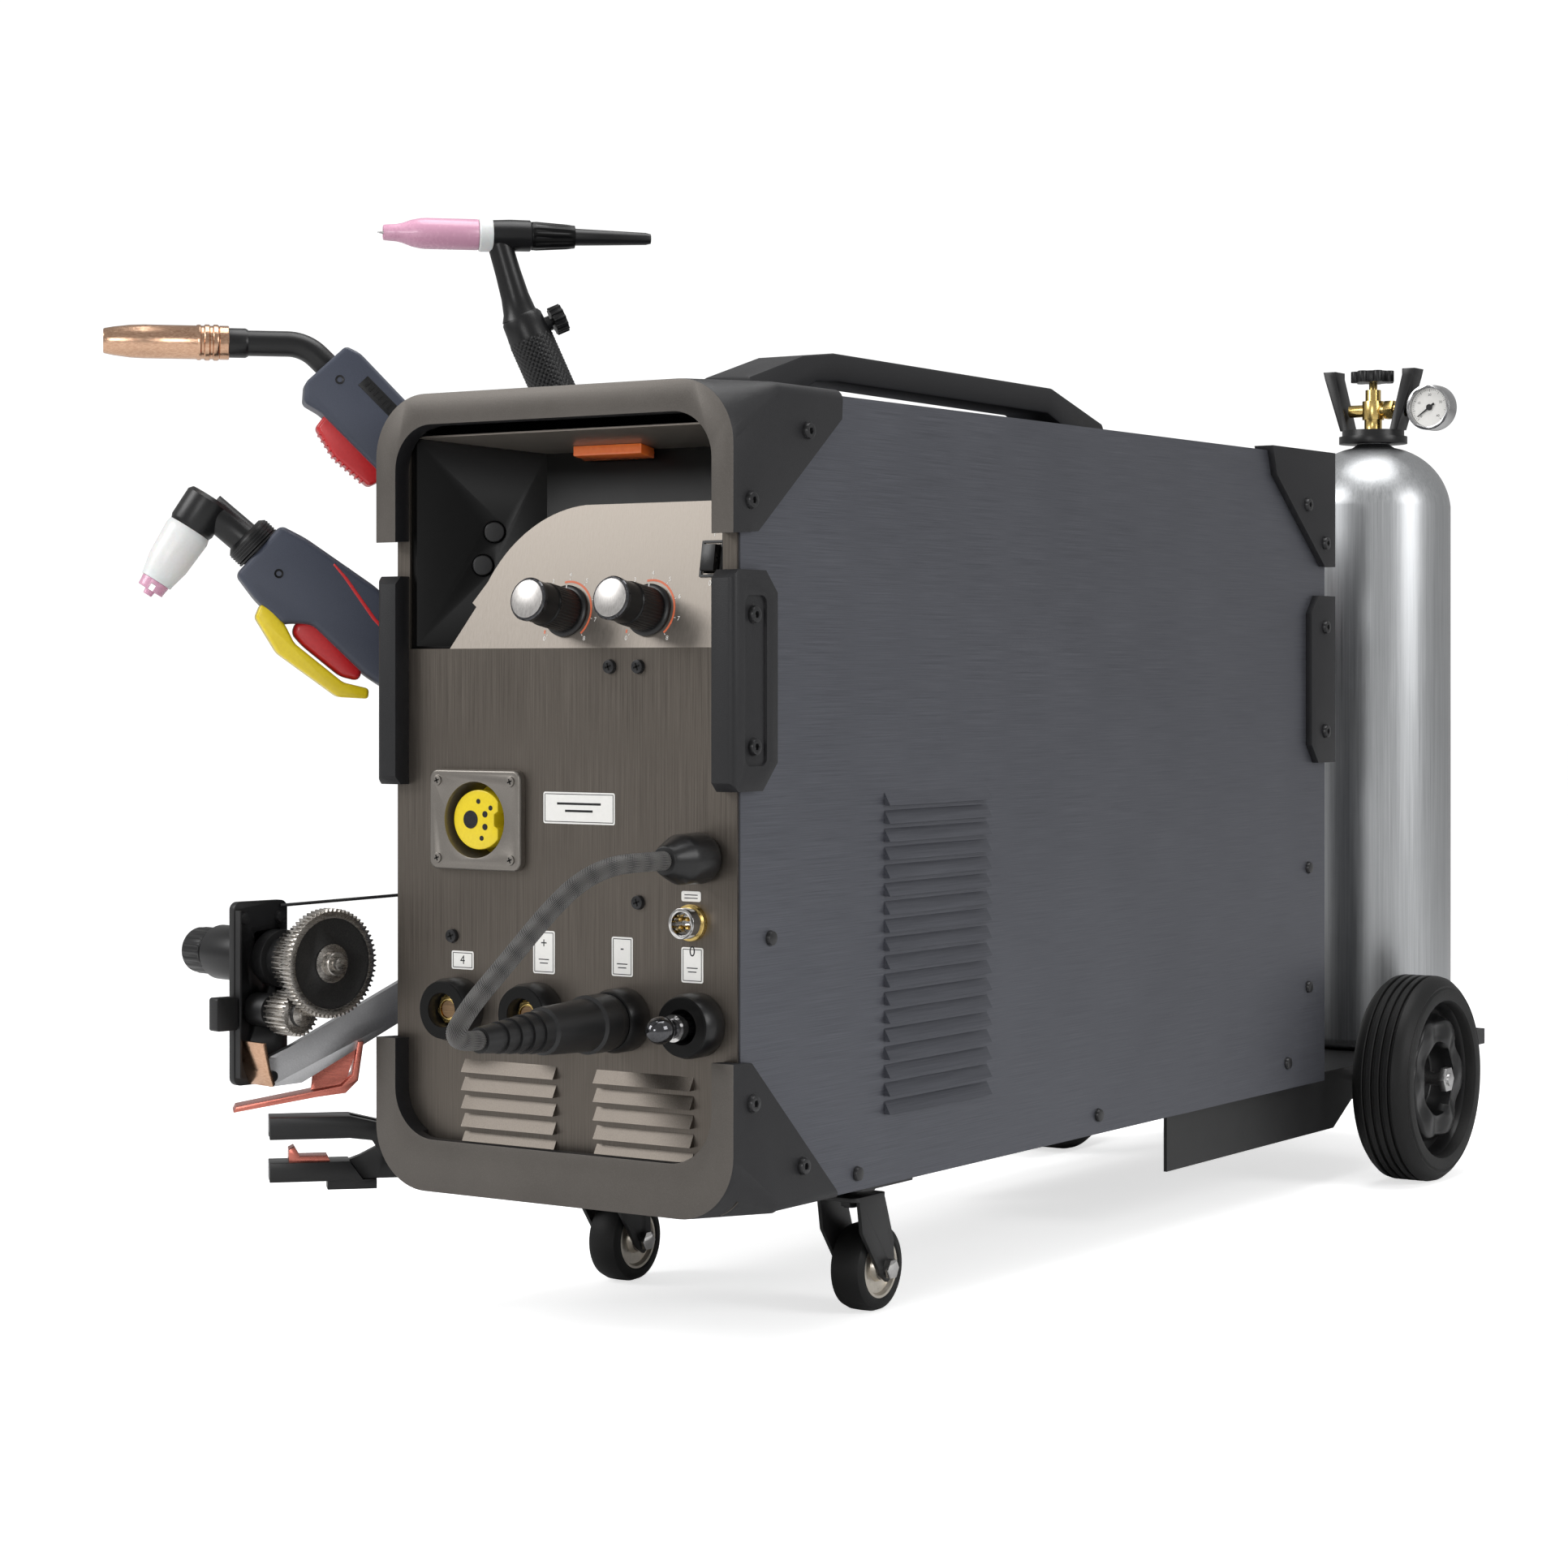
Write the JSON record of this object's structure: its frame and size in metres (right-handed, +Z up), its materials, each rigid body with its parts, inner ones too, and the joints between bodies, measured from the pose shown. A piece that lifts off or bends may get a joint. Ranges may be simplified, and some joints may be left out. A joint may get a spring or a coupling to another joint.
{
  "type": "mig welder on cart",
  "caption": "Wheeled multi-process welding machine with bumper guards, front sockets, racked torches, side wire drive, earth clamp and a gas cylinder on the rear tray.",
  "frame": {"origin": "floor point below the middle of the front panel's face", "axes": "+Z up, -Y the way the control face looks, +X to the right seen from the front"},
  "size_m": [0.598, 1.4866, 0.8279],
  "materials": {
    "slate_paint": "satin brushed slate coating",
    "bronze_brushed": "dark bronze, vertical brushing",
    "champagne_satin": "satin champagne anodising",
    "charcoal_plastic": "fine textured moulding",
    "black_gloss": "polished",
    "orange_lens": "translucent lens",
    "bronze_cast": "fine cast, coated",
    "yellow_plastic": "moulded",
    "black_plastic": "moulded",
    "brass_metal": "turned",
    "black_rubber": "moulded rubber",
    "braided_cable": "woven sleeve",
    "bright_chrome": "polished",
    "black_screw": "blackened steel",
    "black_paint": "powder coat",
    "zinc_steel": "zinc plated",
    "brushed_aluminium": "lengthwise brushed",
    "gauge_case": "plated case",
    "copper_metal": "drawn copper",
    "navy_plastic": "soft touch moulding",
    "white_ceramic": "fired",
    "pink_ceramic": "fired",
    "cast_alloy": "cast",
    "winding_steel": "laminated steel and windings",
    "gear_steel": "machined",
    "red_plastic": "moulded",
    "tyre_rubber": "grooved tread"
  },
  "bodies": {
    "housing": {"axle_and_caster_mounts": "zinc_steel", "base_pan": "slate_paint", "carry_handle": "black_plastic", "case_screws": "black_screw", "chassis_tray": "black_paint", "control_panel": "champagne_satin", "control_recess": "black_gloss", "cylinder_collar": "black_plastic", "cylinder_valve": "brass_metal", "divider_wall": "zinc_steel", "earth_clamp_base": "black_plastic", "euro_flange": "bronze_cast", "euro_insulator": "yellow_plastic", "feeder_arm": "cast_alloy", "front_bumpers": "charcoal_plastic", "front_panel": "bronze_brushed", "gas_cylinder": "brushed_aluminium", "lead_plug": "black_rubber", "mig_handle": "navy_plastic", "mig_nozzle": "copper_metal", "pipe_couplings": "bright_chrome", "plasma_cup": "white_ceramic", "plasma_handle": "navy_plastic", "polarity_lead": "braided_cable", "power_module": "winding_steel", "pressure_gauge": "gauge_case", "rear_panel": "slate_paint", "roof_panel": "slate_paint", "side_guards": "charcoal_plastic", "side_panels": "slate_paint", "socket_contacts": "brass_metal", "socket_shells": "black_plastic", "status_lens": "orange_lens", "tig_body": "black_plastic", "tig_cup": "pink_ceramic", "torch_rack": "black_paint", "wire_drive_frame": "black_paint"},
    "current_knob": {"current_knob": "black_plastic"},
    "voltage_knob": {"voltage_knob": "black_plastic"},
    "mode_switch": {"mode_switch": "black_plastic"},
    "jog_button_upper": {"jog_button_upper": "black_gloss"},
    "jog_button_lower": {"jog_button_lower": "black_gloss"},
    "rear_wheel_left": {"rear_wheel_left": "tyre_rubber"},
    "rear_wheel_right": {"rear_wheel_right": "tyre_rubber"},
    "caster_fork_left": {"caster_fork_left": "black_paint"},
    "caster_fork_right": {"caster_fork_right": "black_paint"},
    "caster_wheel_left": {"caster_wheel_left": "tyre_rubber"},
    "caster_wheel_right": {"caster_wheel_right": "tyre_rubber"},
    "valve_handwheel": {"valve_handwheel": "black_plastic"},
    "gauge_needle": {"gauge_needle": "black_paint"},
    "mig_trigger": {"mig_trigger": "red_plastic"},
    "plasma_trigger": {"plasma_trigger": "red_plastic"},
    "plasma_lever": {"plasma_lever": "yellow_plastic"},
    "tig_valve_knob": {"tig_valve_knob": "black_plastic"},
    "drive_gear": {"drive_gear": "gear_steel"},
    "pinion_gear": {"pinion_gear": "gear_steel"},
    "clamp_jaw": {"clamp_jaw": "black_plastic"},
    "wire_spool": {"wire_spool": "black_plastic"},
    "fan_rotor": {"fan_rotor": "black_plastic"},
    "power_switch": {"power_switch": "red_plastic"}
  },
  "joints": [
    {"name": "current_turn", "type": "hinge", "parent": "housing", "child": "current_knob", "pos_m": [0.0015, 0.00451, 0.5086], "axis": [0, -0.9848, 0.1736], "range_deg": [-135, 135]},
    {"name": "voltage_turn", "type": "hinge", "parent": "housing", "child": "voltage_knob", "pos_m": [0.0725, 0.00451, 0.5086], "axis": [0, -0.9848, 0.1736], "range_deg": [-135, 135]},
    {"name": "mode_rock", "type": "hinge", "parent": "housing", "child": "mode_switch", "pos_m": [0.121, 0.01256, 0.54273], "axis": [1, 0, 0], "range_deg": [-7, 7]},
    {"name": "jog_upper_press", "type": "slide", "parent": "housing", "child": "jog_button_upper", "axis": [-0.6146, 0.7888, 0], "range_m": [0, 0.0015], "stiffness_N_per_m": 300},
    {"name": "jog_lower_press", "type": "slide", "parent": "housing", "child": "jog_button_lower", "axis": [-0.6146, 0.7888, 0], "range_m": [0, 0.0015], "stiffness_N_per_m": 300},
    {"name": "rear_roll_left", "type": "hinge", "parent": "housing", "child": "rear_wheel_left", "pos_m": [-0.19, 1.04, 0.094], "axis": [1, 0, 0], "continuous": true},
    {"name": "caster_swivel_left", "type": "hinge", "parent": "housing", "child": "caster_fork_left", "pos_m": [-0.11, 0.2, 0.088], "axis": [0, 0, 1], "continuous": true},
    {"name": "caster_roll_left", "type": "hinge", "parent": "caster_fork_left", "child": "caster_wheel_left", "pos_m": [-0.11, 0.222, 0.032], "axis": [1, 0, 0], "continuous": true},
    {"name": "rear_roll_right", "type": "hinge", "parent": "housing", "child": "rear_wheel_right", "pos_m": [0.19, 1.04, 0.094], "axis": [1, 0, 0], "continuous": true},
    {"name": "caster_swivel_right", "type": "hinge", "parent": "housing", "child": "caster_fork_right", "pos_m": [0.11, 0.2, 0.088], "axis": [0, 0, 1], "continuous": true},
    {"name": "caster_roll_right", "type": "hinge", "parent": "caster_fork_right", "child": "caster_wheel_right", "pos_m": [0.11, 0.222, 0.032], "axis": [1, 0, 0], "continuous": true},
    {"name": "valve_turn", "type": "hinge", "parent": "housing", "child": "valve_handwheel", "pos_m": [0.075, 1.2, 0.7505], "axis": [0, 0, 1], "range_deg": [0, 540]},
    {"name": "needle_turn", "type": "hinge", "parent": "housing", "child": "gauge_needle", "pos_m": [0.138, 1.191, 0.723], "axis": [0, 1, 0], "range_deg": [0, 240], "stiffness_Nm_per_rad": 0.002},
    {"name": "mig_trigger_pull", "type": "hinge", "parent": "housing", "child": "mig_trigger", "pos_m": [-0.25157, 0.04143, 0.65963], "axis": [0.7071, -0.7071, 0], "range_deg": [0, 5], "stiffness_Nm_per_rad": 0.6},
    {"name": "plasma_trigger_pull", "type": "hinge", "parent": "housing", "child": "plasma_trigger", "pos_m": [-0.26193, 0.03107, 0.49657], "axis": [0.7071, -0.7071, 0], "range_deg": [0, 2], "stiffness_Nm_per_rad": 0.6},
    {"name": "plasma_lever_lift", "type": "hinge", "parent": "housing", "child": "plasma_lever", "pos_m": [-0.28509, 0.00791, 0.5087], "axis": [-0.7071, 0.7071, 0], "range_deg": [0, 20], "stiffness_Nm_per_rad": 0.6},
    {"name": "tig_valve_turn", "type": "hinge", "parent": "housing", "child": "tig_valve_knob", "pos_m": [-0.2164, 0.27559, 0.74825], "axis": [0.6449, 0.6449, 0.41], "range_deg": [0, 360]},
    {"name": "drive_turn", "type": "hinge", "parent": "housing", "child": "drive_gear", "pos_m": [-0.18189, -0.03696, 0.258], "axis": [0.9781, -0.2079, 0], "continuous": true},
    {"name": "pinion_turn", "type": "hinge", "parent": "housing", "child": "pinion_gear", "pos_m": [-0.20774, -0.04793, 0.22182], "axis": [0.9781, -0.2079, 0], "continuous": true},
    {"name": "clamp_open", "type": "hinge", "parent": "housing", "child": "clamp_jaw", "pos_m": [-0.1878, 0.0402, 0.119], "axis": [-0.7071, 0.7071, 0], "range_deg": [0, 4], "stiffness_Nm_per_rad": 2},
    {"name": "spool_turn", "type": "hinge", "parent": "housing", "child": "wire_spool", "pos_m": [-0.057, 0.62, 0.33], "axis": [1, 0, 0], "continuous": true},
    {"name": "fan_turn", "type": "hinge", "parent": "housing", "child": "fan_rotor", "pos_m": [0.06, 0.911, 0.43], "axis": [0, 1, 0], "continuous": true},
    {"name": "power_rock", "type": "hinge", "parent": "housing", "child": "power_switch", "pos_m": [-0.08, 0.9235, 0.56], "axis": [1, 0, 0], "range_deg": [-6, 6]}
  ],
  "couplings": [
    {"joint": "pinion_turn", "follows": "drive_turn", "ratio": -1.5385}
  ]
}
